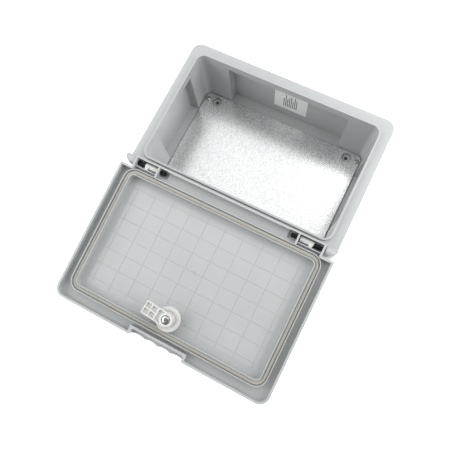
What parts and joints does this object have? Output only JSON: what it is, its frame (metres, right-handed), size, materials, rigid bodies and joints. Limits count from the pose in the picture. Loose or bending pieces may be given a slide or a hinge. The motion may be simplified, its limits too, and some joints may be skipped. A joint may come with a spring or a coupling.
{
  "type": "hinged plastic wall enclosure",
  "caption": "Hinged plastic wall box for an outdoor disconnect: deep case with a galvanised mounting plate, sealed lid that swings open, and a quarter-turn cam lock.",
  "frame": {"origin": "middle of the case's back face, the face that goes against a wall", "axes": "+X along the hinge, +Y from the hinge side to the lock side, +Z from the back of the case out through its mouth; the part lies on its back with the lid swung open over -Y"},
  "size_m": [0.28, 0.3698, 0.1308],
  "materials": {
    "grey_plastic": "fine satin moulded ABS",
    "plate_zinc": "hot-dip galvanised sheet with small spangle",
    "steel": "bright zinc plate",
    "black_steel": "black oxide",
    "brass": "machined",
    "white_nylon": "satin moulded nylon",
    "seal": "foamed-in-place polyurethane",
    "rubber": "matt",
    "label": "satin film"
  },
  "bodies": {
    "case": {"base_case": "grey_plastic", "mounting_plate": "plate_zinc", "plate_screw_1": "steel", "plate_screw_2": "steel", "plate_screw_3": "steel", "plate_screw_4": "steel", "threaded_insert_1": "brass", "threaded_insert_2": "brass", "threaded_insert_3": "brass", "threaded_insert_4": "brass", "rating_label": "label"},
    "lid": {"lid_shell": "grey_plastic", "lid_gasket": "seal", "hinge_pin_left": "black_steel", "hinge_pin_right": "black_steel", "hinge_sleeve_left": "white_nylon", "hinge_sleeve_right": "white_nylon"},
    "lock": {"lock_rotor": "grey_plastic", "lock_o_ring": "rubber", "lock_cam": "white_nylon", "cam_washer": "steel", "cam_screw": "steel"}
  },
  "joints": [
    {"name": "lid_hinge", "type": "hinge", "parent": "case", "child": "lid", "pos_m": [0, -0.089, 0.122], "axis": [1, 0, 0], "range_deg": [-186, 0]},
    {"name": "lock_turn", "type": "hinge", "parent": "lid", "child": "lock", "pos_m": [0, -0.23818, 0.10632], "axis": [0, -0.1045, 0.9945], "range_deg": [0, 95]}
  ]
}
